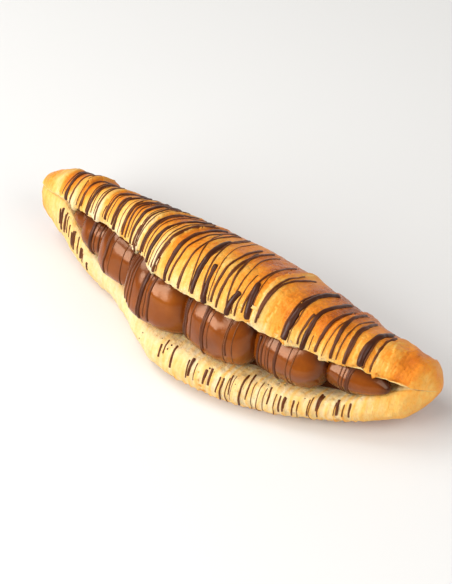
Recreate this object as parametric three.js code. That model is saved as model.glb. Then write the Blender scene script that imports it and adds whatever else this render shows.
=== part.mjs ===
// A baked croissant, slit open along its front like a clam, filled with a piped row of chocolate-cream
// dollops and striped with dark chocolate that was drizzled across it and has set.
// Millimetres. X runs from tip to tip, Y from the open front to the closed back, Z up.
// The origin is at the middle of the underside of the bounding box.
import * as THREE from "three";
import { mergeVertices } from "three/addons/utils/BufferGeometryUtils.js";

const GAP = 0.35; // air left between touching pieces, so that their faces never cross

// ---- Pastry -------------------------------------------------------------------------------------

const MID_X = 10; // the widest cut through the pastry
const MID_DEPTH = 26.5; // half of the front-to-back size there
const MID_HEIGHT = 45;
const MID_CENTRE_Y = -12.5;
const TIP_ROUNDING = 7; // length over which each horn closes into a blunt tip

// Cuts through the pastry, from the left horn to the right one:
// where it is, its middle in Y, half its depth, its underside and its top.
const STATIONS = [
  { x: -83.5, y: -0.5, depth: 6.6, bottom: 11.0, top: 21.5 },
  { x: -75, y: -2.0, depth: 8.8, bottom: 8.0, top: 26.0 },
  { x: -65, y: -3.2, depth: 11.2, bottom: 4.5, top: 31.0 },
  { x: -52, y: -5.0, depth: 14.0, bottom: 1.5, top: 34.5 },
  { x: -38, y: -6.0, depth: 15.8, bottom: 0.0, top: 38.0 },
  { x: -23, y: -9.0, depth: 20.2, bottom: 0.0, top: 42.0 },
  { x: -7, y: -12.2, depth: 25.4, bottom: 0.0, top: 44.2 },
  { x: MID_X, y: MID_CENTRE_Y, depth: MID_DEPTH, bottom: 0.0, top: MID_HEIGHT },
  { x: 27, y: -11.6, depth: 24.8, bottom: 0.0, top: 42.4 },
  { x: 42, y: -10.2, depth: 21.8, bottom: 1.4, top: 38.8 },
  { x: 55, y: -8.6, depth: 18.2, bottom: 3.8, top: 34.8 },
  { x: 66, y: -6.4, depth: 15.2, bottom: 5.4, top: 31.4 },
  { x: 75, y: -4.0, depth: 11.6, bottom: 7.0, top: 26.6 },
  { x: 82.5, y: -1.6, depth: 7.4, bottom: 9.5, top: 22.0 },
];

// The mouth runs between two corners and reaches its full gape some way in from each.
const MOUTH = { left: -66, leftFull: -40, right: 77, rightFull: 54 };
const MOUTH_SHARPNESS = 0.5; // below 1, the lips part quickly at the corners

// The middle cut as [y, z], walked round from the lower lip, under the base, up the back,
// over the lid to its front edge, and back inside along the pocket that holds the cream.
const OPEN_CUT = [
  [-33.0, 13.8], [-36.6, 12.8], [-39.0, 7.8], [-37.2, 2.6], [-31.0, 0.0], [-18.0, -0.2], [-5.0, -0.2],
  [6.0, 0.0], [12.0, 5.0], [14.0, 14.0], [11.0, 23.0], [4.5, 31.6], [-4.4, 38.8], [-12.0, 43.2],
  [-19.5, 44.8], [-25.8, 42.2], [-29.4, 38.4], [-30.4, 35.4], [-29.0, 34.4], [-25.5, 36.0],
  [-19.0, 37.2], [-12.0, 34.6], [-6.0, 28.4], [-4.0, 20.4], [-7.5, 12.9], [-15.5, 9.0], [-26.0, 8.4],
];

// The same cut where the mouth is shut: the two lips meet at a shallow crease.
const SHUT_CUT = [
  [-31.4, 31.6], [-35.6, 27.4], [-38.9, 16.5], [-36.0, 5.5], [-28.0, 0.6], [-18.0, -0.2], [-5.0, -0.2],
  [4.0, 0.4], [11.0, 4.8], [14.0, 14.0], [12.4, 23.4], [8.0, 31.8], [0.6, 39.4], [-8.0, 43.8],
  [-17.0, 45.0], [-24.6, 43.4], [-30.6, 40.2], [-32.8, 37.2], [-32.2, 35.4], [-30.8, 34.5],
  [-29.6, 34.1], [-28.8, 33.9], [-28.2, 33.6], [-28.0, 33.2], [-28.2, 32.8], [-28.9, 32.5], [-30.2, 32.1],
];
const CUT_POINTS = OPEN_CUT.length;
const LIP_TOP = 0; // places along a cut, counted in its points
const LIP_FRONT = 2;
const LID_BACK = 11.3;
const LID_EDGE = 17;

const PASTRY_RINGS = 52;
const PASTRY_AROUND = 2 * CUT_POINTS;
const EVEN_SHARE = 0.6; // how evenly the rings are spaced; the rest of the way they crowd at the tips

// ---- Cream --------------------------------------------------------------------------------------

const CREAM_OPEN = [-21.6, 22.3]; // the cream's middle as [y, z] in the open cut
const CREAM_SHUT = [-29.6, 33.2]; // and where the mouth is shut
const POCKET_STEP = 0.25; // spacing of the places along the pocket where the cream's room is measured

const DOLLOP_AROUND = 18;
const DOLLOP_RINGS = 12;
const DOLLOP_SQUARENESS = 2.6; // 2 for a ball; more where the neighbours press the sides flat
const DOLLOP_SIDE = 0.99; // a strand stays this far within a dollop's half width

// Each dollop's centre and half of its width along the row, as it was piped from left to right, and
// the share of the room in the pocket that it fills; a smaller one sits high against the lid.
const DOLLOPS = [
  { x: -56.75, half: 4.25, fills: 1 },
  { x: -46.75, half: 5.75, fills: 1 },
  { x: -31.75, half: 9.25, fills: 1 },
  { x: -9.95, half: 12.55, fills: 0.96 },
  { x: 14.9, half: 12.3, fills: 0.92 },
  { x: 38.9, half: 11.7, fills: 0.86 },
  { x: 61.85, half: 11.25, fills: 0.84 },
];

// ---- Dark chocolate -----------------------------------------------------------------------------

// A strand crosses the pastry from back to front at x and drifts by slant on the way.
// from and to are shares of the way over the piece that it lies on.
const LID_STRANDS = [
  { x: -64.0, width: 2.6, slant: 1.0, from: 0.2, to: 0.92 },
  { x: -60.2, width: 1.3, slant: -0.4, from: 0.0, to: 1.0 },
  { x: -55.4, width: 1.2, slant: -0.8, from: 0.1, to: 1.0 },
  { x: -51.0, width: 2.4, slant: -1.5, from: 0.0, to: 1.0 },
  { x: -46.6, width: 1.2, slant: -1.0, from: 0.15, to: 1.0 },
  { x: -41.8, width: 1.6, slant: -3.0, from: 0.0, to: 1.0 },
  { x: -36.4, width: 2.0, slant: -3.0, from: 0.1, to: 1.0 },
  { x: -31.4, width: 1.1, slant: -2.5, from: 0.0, to: 1.0 },
  { x: -26.0, width: 2.4, slant: -2.3, from: 0.0, to: 0.95 },
  { x: -22.4, width: 1.2, slant: -1.6, from: 0.1, to: 1.0 },
  { x: -18.6, width: 1.8, slant: -3.0, from: 0.0, to: 1.0 },
  { x: -13.8, width: 1.4, slant: -4.4, from: 0.0, to: 1.0 },
  { x: -9.2, width: 1.1, slant: -3.0, from: 0.05, to: 1.0 },
  { x: -4.8, width: 2.2, slant: -0.8, from: 0.0, to: 1.0 },
  { x: 1.2, width: 1.1, slant: 0.6, from: 0.0, to: 1.0 },
  { x: 6.4, width: 2.8, slant: 2.6, from: 0.2, to: 1.0 },
  { x: 11.3, width: 2.6, slant: 2.0, from: 0.5, to: 1.0 },
  { x: 15.8, width: 1.2, slant: 2.0, from: 0.0, to: 1.0 },
  { x: 20.2, width: 2.6, slant: -2.0, from: 0.6, to: 1.0 },
  { x: 26.4, width: 2.6, slant: 2.6, from: 0.46, to: 1.0 },
  { x: 30.8, width: 1.1, slant: -1.0, from: 0.0, to: 0.7 },
  { x: 40.0, width: 2.8, slant: -1.0, from: 0.0, to: 1.0 },
  { x: 45.4, width: 2.2, slant: -0.2, from: 0.0, to: 1.0 },
  { x: 49.4, width: 1.2, slant: -0.6, from: 0.1, to: 1.0 },
  { x: 53.4, width: 1.3, slant: 2.5, from: 0.0, to: 0.9 },
  { x: 57.6, width: 1.4, slant: 2.8, from: 0.0, to: 1.0 },
  { x: 62.8, width: 2.8, slant: 0.8, from: 0.05, to: 1.0 },
];
// On a dollop the share runs from just under the lid's edge down to the lower lip.
const DOLLOP_SHOULDER = 0.9; // turns from straight ahead at the front, in radians
const DOLLOP_FOOT = -0.7;
const CREAM_STRANDS = [
  { dollop: 2, x: -47.5, width: 1.5, slant: 0, from: 0.05, to: 0.85 },
  { dollop: 4, x: -12.0, width: 1.4, slant: 0, from: 0.05, to: 0.6 },
  { dollop: 5, x: 5.2, width: 1.5, slant: 0, from: 0.0, to: 0.9 },
  { dollop: 5, x: 13.0, width: 1.2, slant: 0, from: 0.05, to: 0.8 },
  { dollop: 6, x: 31.4, width: 1.4, slant: 0, from: 0.0, to: 0.95 },
  { dollop: 6, x: 38.4, width: 1.5, slant: 0, from: 0.0, to: 0.86 },
  { dollop: 7, x: 60.4, width: 1.8, slant: 0, from: 0.0, to: 0.9 },
];
const LIP_STRANDS = [
  { x: -63, width: 1.0, slant: 0.8, from: 0.05, to: 0.8 },
  { x: -58, width: 1.6, slant: 0.8, from: 0.05, to: 0.9 },
  { x: -53, width: 1.1, slant: 0.8, from: 0.05, to: 0.6 },
  { x: -1, width: 1.0, slant: 0.8, from: 0.05, to: 0.5 },
  { x: 10.5, width: 2.0, slant: 0.8, from: 0.05, to: 0.7 },
  { x: 18, width: 1.8, slant: 0.8, from: 0.05, to: 0.9 },
  { x: 25, width: 1.1, slant: 0.8, from: 0.05, to: 0.8 },
  { x: 31, width: 1.1, slant: 0.8, from: 0.05, to: 0.9 },
  { x: 38, width: 1.2, slant: 0.8, from: 0.05, to: 0.7 },
  { x: 46, width: 1.1, slant: 0.8, from: 0.05, to: 0.6 },
  { x: 53, width: 1.5, slant: 0.8, from: 0.05, to: 0.9 },
  { x: 59, width: 1.6, slant: 0.8, from: 0.05, to: 0.6 },
];
const STRAND_THICKNESS = 0.9;
const STRAND_SIDES = 6;
const STRAND_TIP = 0.45; // how much of a strand's width is left at its rounded ends
const LID_STEPS = 10; // segments along each kind of strand
const CREAM_STEPS = 6;
const LIP_STEPS = 4;
const NEARBY = 0.02; // a small step, in millimetres or shares, for finding a surface's slope

// ---- Materials ----------------------------------------------------------------------------------

const CRUST = new THREE.MeshStandardMaterial({ color: 0xe0933a, roughness: 0.6, metalness: 0 });
const CREAM = new THREE.MeshStandardMaterial({ color: 0x8a4a18, roughness: 0.25, metalness: 0 });
const CHOCOLATE = new THREE.MeshStandardMaterial({ color: 0x3c1c10, roughness: 0.4, metalness: 0 });

// ---- Shared shaping -----------------------------------------------------------------------------

const { clamp, lerp, smoothstep } = THREE.MathUtils;

// Merges a stock geometry's doubled vertices and moves each one to where place() sends it.
function mould(stock, place) {
  stock.deleteAttribute("normal");
  stock.deleteAttribute("uv");
  const geometry = mergeVertices(stock);
  const position = geometry.getAttribute("position");
  const corner = new THREE.Vector3();
  for (let i = 0; i < position.count; i++) {
    const moved = place(corner.fromBufferAttribute(position, i));
    position.setXYZ(i, moved.x, moved.y, moved.z);
  }
  geometry.computeVertexNormals();
  return geometry;
}

// One value of the stations at x, on a smooth curve through them.
function station(key, x) {
  const last = STATIONS.length - 1;
  let i = 0;
  while (i < last - 1 && x > STATIONS[i + 1].x) i++;
  const at = (k) => STATIONS[clamp(k, 0, last)];
  const rise = (k) => (at(k + 1)[key] - at(k - 1)[key]) / (at(k + 1).x - at(k - 1).x);
  const span = at(i + 1).x - at(i).x;
  const t = clamp((x - at(i).x) / span, 0, 1);
  const a = at(i)[key];
  const b = at(i + 1)[key];
  return (
    a * (1 + 2 * t) * (1 - t) ** 2 +
    b * (3 - 2 * t) * t ** 2 +
    span * t * (1 - t) * (rise(i) * (1 - t) - rise(i + 1) * t)
  );
}

// 1 along the horns' lengths, falling to 0 on a quarter round at each tip.
function tipRounding(x) {
  const toTip = Math.min(x - STATIONS[0].x, STATIONS.at(-1).x - x);
  const into = clamp(1 - toTip / TIP_ROUNDING, 0, 1);
  return Math.sqrt(1 - into * into);
}

// How far the mouth gapes at x, from 0 where it is shut to 1.
function gape(x) {
  const left = smoothstep(x, MOUTH.left, MOUTH.leftFull);
  const right = 1 - smoothstep(x, MOUTH.rightFull, MOUTH.right);
  return Math.min(left, right) ** MOUTH_SHARPNESS;
}

// A point of the middle cut, in its own millimetres, at place p along it (0 to CUT_POINTS).
function cutPoint(cut, p) {
  const n = CUT_POINTS;
  const i = Math.floor(p);
  const t = p - i;
  const corner = (k) => cut[(((i + k) % n) + n) % n];
  return [0, 1].map((axis) => {
    const [a, b, c, d] = [-1, 0, 1, 2].map((k) => corner(k)[axis]);
    return b + 0.5 * t * (c - a + t * (2 * a - 5 * b + 4 * c - d + t * (3 * (b - c) + d - a)));
  });
}

// Puts a point [y, z] of the middle cut where it belongs in the cut at x.
function inCut(x, y, z) {
  const round = tipRounding(x);
  const bottom = Math.max(station("bottom", x), 0);
  const top = station("top", x);
  const middle = (bottom + top) / 2;
  const height = (top - bottom) * round;
  const across = ((y - MID_CENTRE_Y) / MID_DEPTH) * station("depth", x) * round;
  const up = (Math.max(z, 0) / MID_HEIGHT - 0.5) * height;
  return new THREE.Vector3(x, station("y", x) + across, middle + up);
}

// The pastry's surface at x, at place p along the cut.
function crust(x, p) {
  const open = cutPoint(OPEN_CUT, p);
  const shut = cutPoint(SHUT_CUT, p);
  const g = gape(x);
  return inCut(x, lerp(shut[0], open[0], g), lerp(shut[1], open[1], g));
}

// ---- Pieces -------------------------------------------------------------------------------------

function makePastry() {
  const first = STATIONS[0].x;
  const length = STATIONS.at(-1).x - first;
  // A sphere's poles become the two tips, and its meridians the places along the cut.
  const stock = new THREE.SphereGeometry(1, PASTRY_AROUND, PASTRY_RINGS);
  return mould(stock, (corner) => {
    const theta = Math.acos(clamp(corner.y, -1, 1));
    const even = theta / Math.PI;
    const crowded = (1 - corner.y) / 2;
    const turn = (Math.atan2(-corner.z, -corner.x) / (2 * Math.PI) + 1) % 1;
    return crust(first + length * lerp(crowded, even, EVEN_SHARE), turn * CUT_POINTS);
  });
}

// The middle of the pocket at x, and the largest round of cream that it holds there.
function creamAt(x) {
  const g = gape(x);
  const centre = inCut(x, lerp(CREAM_SHUT[0], CREAM_OPEN[0], g), lerp(CREAM_SHUT[1], CREAM_OPEN[1], g));
  let radius = Infinity;
  for (let p = LID_EDGE + 1; p <= CUT_POINTS; p += POCKET_STEP) {
    radius = Math.min(radius, crust(x, p).distanceTo(centre));
  }
  return { centre, radius: radius - GAP };
}

// A point on a dollop: along is its place across the dollop's width (-1 to 1), angle its turn from
// straight ahead at the front up towards the lid. The neighbours press the sides flatter than a ball's.
function dollopSurface({ x, half, fills }, along, angle) {
  const atX = x + (half - GAP / 2) * along;
  const { centre, radius } = creamAt(atX);
  const girth = radius * fills * Math.sqrt(1 - Math.abs(along) ** DOLLOP_SQUARENESS);
  const raised = radius * (1 - fills);
  return new THREE.Vector3(
    atX,
    centre.y - girth * Math.cos(angle),
    centre.z + girth * Math.sin(angle) + raised,
  );
}

function makeDollop(dollop) {
  const stock = new THREE.SphereGeometry(1, DOLLOP_AROUND, DOLLOP_RINGS).rotateZ(Math.PI / 2);
  return mould(stock, (corner) =>
    dollopSurface(dollop, clamp(corner.x, -1, 1), Math.atan2(corner.z, -corner.y)),
  );
}

// A strand of set chocolate: a flattened cord with tapered ends that follows surface(atX, share).
function makeStrand({ x, width, slant, from, to }, surface, steps) {
  const stock = new THREE.CylinderGeometry(1, 1, 2, STRAND_SIDES, steps);
  return mould(stock, (corner) => {
    const along = (corner.y + 1) / 2;
    const share = lerp(from, to, along);
    const fullness = lerp(STRAND_TIP, 1, Math.sqrt(1 - corner.y ** 4));
    const atX = x + slant * (along - 0.5) + (width / 2) * fullness * corner.x;
    const foot = surface(atX, share);
    const acrossX = surface(atX + NEARBY, share).sub(foot);
    const downSurface = surface(atX, share + NEARBY).sub(foot);
    const outward = acrossX.cross(downSurface).normalize().negate();
    const lift = GAP + STRAND_THICKNESS * fullness * ((1 - corner.z) / 2);
    return foot.addScaledVector(outward, lift);
  });
}

// ---- Assembly -----------------------------------------------------------------------------------

const croissant = new THREE.Group();

function add(name, geometry, material) {
  const mesh = new THREE.Mesh(geometry, material);
  mesh.name = name;
  croissant.add(mesh);
}

const numbered = (stem, i) => `${stem}_${String(i + 1).padStart(2, "0")}`;

add("pastry", makePastry(), CRUST);

DOLLOPS.forEach((dollop, i) => add(numbered("cream_dollop", i), makeDollop(dollop), CREAM));

LID_STRANDS.forEach((strand, i) => {
  const lid = (atX, share) => crust(atX, lerp(LID_BACK, LID_EDGE, share));
  add(numbered("lid_strand", i), makeStrand(strand, lid, LID_STEPS), CHOCOLATE);
});

CREAM_STRANDS.forEach((strand, i) => {
  const dollop = DOLLOPS[strand.dollop - 1];
  const front = (atX, share) => {
    const along = clamp((atX - dollop.x) / dollop.half, -DOLLOP_SIDE, DOLLOP_SIDE);
    return dollopSurface(dollop, along, lerp(DOLLOP_SHOULDER, DOLLOP_FOOT, share));
  };
  add(numbered("cream_strand", i), makeStrand(strand, front, CREAM_STEPS), CHOCOLATE);
});

LIP_STRANDS.forEach((strand, i) => {
  const lip = (atX, share) => crust(atX, lerp(LIP_TOP, LIP_FRONT, share));
  add(numbered("lip_strand", i), makeStrand(strand, lip, LIP_STEPS), CHOCOLATE);
});

// Sets the origin at the middle of the underside.
const box = new THREE.Box3().setFromObject(croissant);
const middle = box.getCenter(new THREE.Vector3());
croissant.position.set(-middle.x, -middle.y, -box.min.z);

export default croissant;
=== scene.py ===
import math
import random

import bmesh
import bpy
import numpy as np
from mathutils import Matrix, Vector, noise
from mathutils.bvhtree import BVHTree


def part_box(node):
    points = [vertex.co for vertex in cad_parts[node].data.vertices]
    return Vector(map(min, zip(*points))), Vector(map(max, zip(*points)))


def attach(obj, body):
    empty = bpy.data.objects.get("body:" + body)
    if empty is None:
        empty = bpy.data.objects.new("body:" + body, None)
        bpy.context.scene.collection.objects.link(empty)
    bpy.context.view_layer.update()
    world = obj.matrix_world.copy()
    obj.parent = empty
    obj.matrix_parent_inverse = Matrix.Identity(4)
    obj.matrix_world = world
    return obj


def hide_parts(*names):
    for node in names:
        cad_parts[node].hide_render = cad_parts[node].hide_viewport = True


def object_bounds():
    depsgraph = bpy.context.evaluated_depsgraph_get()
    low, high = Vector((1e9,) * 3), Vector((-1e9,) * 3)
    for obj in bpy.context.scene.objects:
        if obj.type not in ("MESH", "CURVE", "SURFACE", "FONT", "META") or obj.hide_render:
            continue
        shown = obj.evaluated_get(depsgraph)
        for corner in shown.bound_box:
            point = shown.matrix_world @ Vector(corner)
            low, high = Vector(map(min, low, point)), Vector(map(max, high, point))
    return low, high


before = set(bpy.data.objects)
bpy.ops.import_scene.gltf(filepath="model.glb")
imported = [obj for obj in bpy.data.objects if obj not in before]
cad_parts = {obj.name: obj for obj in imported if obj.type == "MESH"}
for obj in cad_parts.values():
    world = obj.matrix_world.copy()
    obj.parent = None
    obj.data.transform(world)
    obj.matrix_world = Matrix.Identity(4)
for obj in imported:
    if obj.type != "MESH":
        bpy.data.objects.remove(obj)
cad_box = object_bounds()
scene = bpy.context.scene

# ---- Camera -------------------------------------------------------------------------------------
# Looks down on the open side of the croissant from its front right, at arm's length, through a long
# lens, so that it runs across the frame with its left horn far away and its right horn near.

low, high = cad_box
middle = (low + high) / 2
turn = math.radians(41)
rise = math.radians(44)
toward_camera = Vector((
    math.sin(turn) * math.cos(rise),
    -math.cos(turn) * math.cos(rise),
    math.sin(rise),
))
camera = bpy.data.objects.new("camera", bpy.data.cameras.new("camera"))
camera.data.lens = 136
camera.data.clip_start = 0.02
across_frame = Vector((math.cos(turn), math.sin(turn), 0))
camera.location = middle + across_frame * 0.005 + Vector((0, 0, -0.004)) + toward_camera * 0.72
tilt = Matrix.Rotation(math.radians(-3.1), 3, "Z")
camera.rotation_euler = (toward_camera.to_track_quat("Z", "Y").to_matrix() @ tilt).to_euler()
scene.collection.objects.link(camera)
scene.camera = camera

# ---- Pastry -------------------------------------------------------------------------------------
# One roll of laminated wheat dough, glazed, baked to a shiny crust and slit along its front, so that a
# lid stands open over a lower lip.

# Its shape comes from a ball. The poles become the two horns, and each turn round the ball becomes one
# closed cut through lid, back, base, lip and the pocket between them. Then the wraps of the rolled
# dough, their torn edges and the frills of the lip are raised on it.

MM = 0.001
MID_DEPTH = 26.5
MID_HEIGHT = 45.0
MID_CENTRE_Y = -12.5
TIP_ROUNDING = 7.0
LEFT_OPENS = (-66, -40)  # the slit begins to open, and is fully open
RIGHT_SHUTS = (54, 77)  # it begins to close, and is shut

# x, middle in y, half depth, underside and top of the cuts from the left horn to the right one, in mm.
STATIONS = np.array([
    (-83.5, -0.5, 6.6, 11.0, 21.5),
    (-75.0, -2.0, 8.8, 8.0, 26.0),
    (-65.0, -3.2, 11.2, 4.5, 31.0),
    (-52.0, -5.0, 14.0, 1.5, 34.5),
    (-38.0, -6.0, 15.8, 0.0, 38.0),
    (-23.0, -9.0, 20.2, 0.0, 42.0),
    (-7.0, -12.2, 25.4, 0.0, 44.2),
    (10.0, MID_CENTRE_Y, MID_DEPTH, 0.0, MID_HEIGHT),
    (27.0, -11.6, 24.8, 0.0, 42.4),
    (42.0, -10.2, 21.8, 1.4, 38.8),
    (55.0, -8.6, 18.2, 3.8, 34.8),
    (66.0, -6.4, 15.2, 5.4, 31.4),
    (75.0, -4.0, 11.6, 7.0, 26.6),
    (82.5, -1.6, 7.4, 9.5, 22.0),
])
LEFT_TIP = STATIONS[0, 0]
RIGHT_TIP = STATIONS[-1, 0]

# The cut through the middle, gaping and shut: lower lip, base, back, lid, lid's edge, pocket.
OPEN_CUT = np.array([
    (-33.0, 13.8), (-36.6, 12.8), (-39.0, 7.8), (-37.2, 2.6), (-31.0, 0.0), (-18.0, -0.2), (-5.0, -0.2),
    (6.0, 0.0), (12.0, 5.0), (14.0, 14.0), (11.0, 23.0), (4.5, 31.6), (-4.4, 38.8), (-12.0, 43.2),
    (-19.5, 44.8), (-25.8, 42.2), (-29.4, 38.4), (-30.4, 35.4), (-29.0, 34.4), (-25.5, 36.0),
    (-19.0, 37.2), (-12.0, 34.6), (-6.0, 28.4), (-4.0, 20.4), (-7.5, 12.9), (-17.0, 10.2), (-27.2, 12.9),
])
SHUT_CUT = np.array([
    (-31.4, 31.6), (-35.6, 27.4), (-38.9, 16.5), (-36.0, 5.5), (-28.0, 0.6), (-18.0, -0.2), (-5.0, -0.2),
    (4.0, 0.4), (11.0, 4.8), (14.0, 14.0), (12.4, 23.4), (8.0, 31.8), (0.6, 39.4), (-8.0, 43.8),
    (-17.0, 45.0), (-24.6, 43.4), (-30.6, 40.2), (-32.8, 37.2), (-32.2, 35.4), (-30.8, 34.5),
    (-29.6, 34.1), (-28.8, 33.9), (-28.2, 33.6), (-28.0, 33.2), (-28.2, 32.8), (-28.9, 32.5),
    (-30.2, 32.1),
])
PLACES = len(OPEN_CUT)
LIP_FOOT = 3.4  # places along a cut, counted in its points
BACK_FOOT = 8.0
LID_BACK = 12.0
LID_EDGE = 17.0
POCKET = 18.6
LIP_BACK = 25.3


def smooth(value, start, end):
    """0 before start, 1 after end, and an easy curve between them."""
    t = np.clip((value - start) / (end - start), 0, 1)
    return t * t * (3 - 2 * t)


def band(value, rises, falls):
    """1 between two slopes and 0 beyond them. Each slope is where it starts and where it ends."""
    return smooth(value, *rises) * (1 - smooth(value, *falls))


def station(column, x):
    """One column of the stations at x, on a smooth curve through them."""
    xs, values = STATIONS[:, 0], STATIONS[:, column]
    ahead = np.append(np.arange(1, len(xs)), len(xs) - 1)
    behind = np.append(0, np.arange(len(xs) - 1))
    slopes = (values[ahead] - values[behind]) / (xs[ahead] - xs[behind])
    i = np.clip(np.searchsorted(xs, x, side="right") - 1, 0, len(xs) - 2)
    span = xs[i + 1] - xs[i]
    t = np.clip((x - xs[i]) / span, 0, 1)
    return (
        values[i] * (1 + 2 * t) * (1 - t) ** 2
        + values[i + 1] * (3 - 2 * t) * t**2
        + span * t * (1 - t) * (slopes[i] * (1 - t) - slopes[i + 1] * t)
    )


def along_cut(cut, place):
    """Points of a cut at places along it, on a closed curve through its points."""
    i = np.floor(place).astype(int)
    t = (place - i)[:, None]
    a, b, c, d = (cut[(i + k) % PLACES] for k in (-1, 0, 1, 2))
    return b + 0.5 * t * (c - a + t * (2 * a - 5 * b + 4 * c - d + t * (3 * (b - c) + d - a)))


def gape(x):
    """How far the slit stands open at x."""
    left = smooth(x, *LEFT_OPENS)
    right = 1 - smooth(x, *RIGHT_SHUTS)
    return np.minimum(left, right) ** 0.5


def in_cut(x, y, z):
    """Puts a point of the middle cut where it belongs in the cut at x, in mm."""
    from_tip = np.minimum(x - LEFT_TIP, RIGHT_TIP - x)
    blunt = np.sqrt(np.clip(1 - np.clip(1 - from_tip / TIP_ROUNDING, 0, 1) ** 2, 0, 1))
    bottom = np.maximum(station(3, x), 0)
    top = station(4, x)
    across = (y - MID_CENTRE_Y) / MID_DEPTH * station(2, x) * blunt
    up = (np.maximum(z, 0) / MID_HEIGHT - 0.5) * (top - bottom) * blunt
    return np.stack([x, station(1, x) + across, (bottom + top) / 2 + up], axis=1)


def smooth_crust(x, place):
    """The croissant's surface before its wraps are raised, in mm."""
    opened = gape(x)[:, None]
    cut = along_cut(SHUT_CUT, place) * (1 - opened) + along_cut(OPEN_CUT, place) * opened
    return in_cut(x, cut[:, 0], cut[:, 1])


def crust_normals(x, place):
    """Directions straight out of the smooth crust."""
    nearby = 0.05
    across = smooth_crust(x + nearby, place) - smooth_crust(x - nearby, place)
    around = smooth_crust(x, place + nearby) - smooth_crust(x, place - nearby)
    out = np.cross(across, around)
    return out / np.maximum(np.linalg.norm(out, axis=1, keepdims=True), 1e-9)


def grain(x, y, z, seed=0.0):
    """Soft noise from -1 to 1 at each point."""
    return np.array([noise.noise((a, b, c + seed)) for a, b, c in zip(x, y, z)])


# Where each wrap's edge crosses the lid and how high it stands. The dough steps up from both horns to
# the middle wrap.
LEFT_WRAPS = [
    (-95, 0.3), (-80, 0.3), (-68, 1.7), (-57, 0.6), (-45, 0.5), (-32.5, 0.6), (-20.5, 0.5), (-8.5, 0.5),
]
RIGHT_WRAPS = [(28, 0.7), (39.5, 0.7), (51, 0.6), (66.5, 1.1), (77, 0.3), (95, 0.3)]
MIDDLE_CREST = 10.0


def wrap_lean(x):
    """How far a wrap's edge drifts along x between the back of the lid and its front."""
    at = [-70, -45, -14, 10, 30, 48, 60, 75]
    return np.interp(x, at, [0.5, -2.0, -3.8, 1.5, 1.5, 0.0, 2.5, 1.0])


def wraps(x, place, wander):
    """The run of each point across the wraps, the height of its wrap, the share of it that the point
    has crossed from the raised edge (0) to the next one (1), and the distance in mm from the edge."""
    share = (place - LID_BACK) / (LID_EDGE - LID_BACK)
    run = x - wrap_lean(x) * np.clip(share - 0.5, -1.2, 1.0) - wander
    height, crossed, past_edge = np.zeros_like(run), np.zeros_like(run), np.full_like(run, 99.0)
    for side, edges in ((1, LEFT_WRAPS), (-1, RIGHT_WRAPS[::-1])):
        starts = [edge * side for edge, _ in edges]
        for start, end, (_, stands) in zip(starts, starts[1:] + [MIDDLE_CREST * side], edges):
            here = (run * side >= start) & (run * side < end)
            height[here] = stands
            crossed[here] = (run[here] * side - start) / (end - start)
            past_edge[here] = run[here] * side - start
    middle_wrap = (run >= LEFT_WRAPS[-1][0]) & (run <= RIGHT_WRAPS[0][0])
    crossed[middle_wrap] *= 0.5
    return run, height, crossed, past_edge


pastry_mesh = bpy.data.meshes.new("pastry_crust")
dough = bmesh.new()
bmesh.ops.create_uvsphere(dough, u_segments=288, v_segments=340, radius=1)
bmesh.ops.rotate(dough, verts=dough.verts, matrix=Matrix.Rotation(math.pi / 2, 3, "Y"))
# The cuts run round the ball the other way, so its faces are turned to point outwards.
bmesh.ops.reverse_faces(dough, faces=dough.faces)
dough.to_mesh(pastry_mesh)
dough.free()

ball = np.zeros(len(pastry_mesh.vertices) * 3)
pastry_mesh.vertices.foreach_get("co", ball)
ball = ball.reshape(-1, 3)
even = 1 - np.arccos(np.clip(ball[:, 0], -1, 1)) / math.pi
crowded = (1 + ball[:, 0]) / 2
# The cuts stand mostly evenly along the croissant, and a little closer at the horns.
crust_x = LEFT_TIP + (RIGHT_TIP - LEFT_TIP) * (0.72 * even + 0.28 * crowded)
round_ball = (np.arctan2(-ball[:, 2], ball[:, 1]) / (2 * math.pi)) % 1
# The lid and the lip get the most rows of the dough's net, and the base and the pocket the fewest.
crust_place = np.interp(
    round_ball,
    [0.0, 0.20, 0.28, 0.42, 0.86, 1.0],
    [0.0, LIP_FOOT, BACK_FOOT, LID_BACK, POCKET, PLACES],
)

crust = smooth_crust(crust_x, crust_place)
crust_out = crust_normals(crust_x, crust_place)
shift = np.array([
    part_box("pastry")[0].x / MM - crust[:, 0].min(),
    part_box("pastry")[0].y / MM - crust[:, 1].min(),
    0.0,
])

# How far each point belongs to each region of the crust, from 0 to 1.
on_lid = band(crust_place, (BACK_FOOT - 1, LID_BACK), (LID_EDGE, POCKET))
on_back = band(crust_place, (BACK_FOOT - 1.5, BACK_FOOT + 1), (LID_BACK - 1, LID_BACK + 1))
on_lip = (1 - smooth(crust_place, LIP_FOOT - 0.6, LIP_FOOT + 0.8)) + smooth(crust_place, LIP_BACK, 26.2)
on_edge = band(crust_place, (LID_EDGE - 1.2, LID_EDGE - 0.1), (LID_EDGE + 0.5, POCKET + 0.6))
in_pocket = band(crust_place, (LID_EDGE + 0.6, POCKET), (LIP_BACK - 0.2, LIP_BACK + 0.5))
on_base = band(crust_place, (LIP_FOOT, LIP_FOOT + 0.7), (BACK_FOOT - 1.4, BACK_FOOT - 0.4))
on_tips = 1 - smooth(np.minimum(crust_x - LEFT_TIP, RIGHT_TIP - crust_x), 0, 5)


def over_crust(along, around, seed):
    """Soft noise over the crust. The larger along and around are, the finer it is."""
    return grain(along, crust[:, 1] * around, crust[:, 2] * around, seed)


wander = 0.8 * over_crust(crust_x * 0.02, 0.09, 3.0)
wander += 0.25 * over_crust(crust_x * 0.1, 0.5, 5.0)
run, stands, crossed, past_edge = wraps(crust_x, crust_place, wander)

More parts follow.
